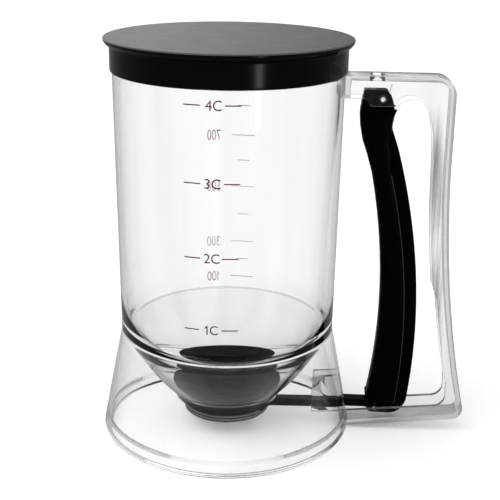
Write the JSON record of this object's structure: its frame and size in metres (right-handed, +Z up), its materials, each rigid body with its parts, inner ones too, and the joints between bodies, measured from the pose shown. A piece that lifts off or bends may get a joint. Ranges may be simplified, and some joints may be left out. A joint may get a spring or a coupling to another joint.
{
  "type": "batter dispenser",
  "caption": "Clear measuring cup with funnel bottom and slide valve, worked by a trigger lever in a C-shaped handle, with a press-on lid.",
  "frame": {"origin": "centre of the base rim on the table", "axes": "+Z up along the cup's axis, +X towards the handle, so the XZ plane is the plane of symmetry"},
  "size_m": [0.1747, 0.12, 0.187],
  "materials": {
    "clear_plastic": "polished clear plastic",
    "lid_plastic": "satin moulded",
    "trigger_plastic": "smooth moulded",
    "arm_plastic": "satin moulded",
    "valve_plastic": "smooth moulded",
    "silicone": "soft silicone",
    "steel": "drawn stainless"
  },
  "bodies": {
    "vessel": {"cup": "clear_plastic", "base_skirt": "clear_plastic", "handle_frame": "clear_plastic", "pivot_pin": "steel", "valve_body": "valve_plastic", "outlet_cap": "valve_plastic", "valve_seal": "silicone", "neck_o_ring": "silicone"},
    "lid": {"lid": "lid_plastic"},
    "trigger": {"trigger_lever": "trigger_plastic", "trigger_grip": "trigger_plastic", "return_spring": "steel"},
    "slide": {"slide_arm": "arm_plastic", "link_pin": "steel"}
  },
  "joints": [
    {"name": "trigger_pivot", "type": "hinge", "parent": "vessel", "child": "trigger", "pos_m": [0.0684, 0, 0.162], "axis": [0, -1, 0], "range_deg": [0, 7.6], "stiffness_Nm_per_rad": 0.6, "springref_deg": -6.88},
    {"name": "valve_slide", "type": "slide", "parent": "vessel", "child": "slide", "axis": [1, 0, 0], "range_m": [0, 0.0201]},
    {"name": "lid_lift", "type": "slide", "parent": "vessel", "child": "lid", "axis": [0, 0, 1], "range_m": [0, 0.04]}
  ],
  "couplings": [
    {"joint": "valve_slide", "follows": "trigger_pivot", "m_per_rad": 0.15108}
  ]
}
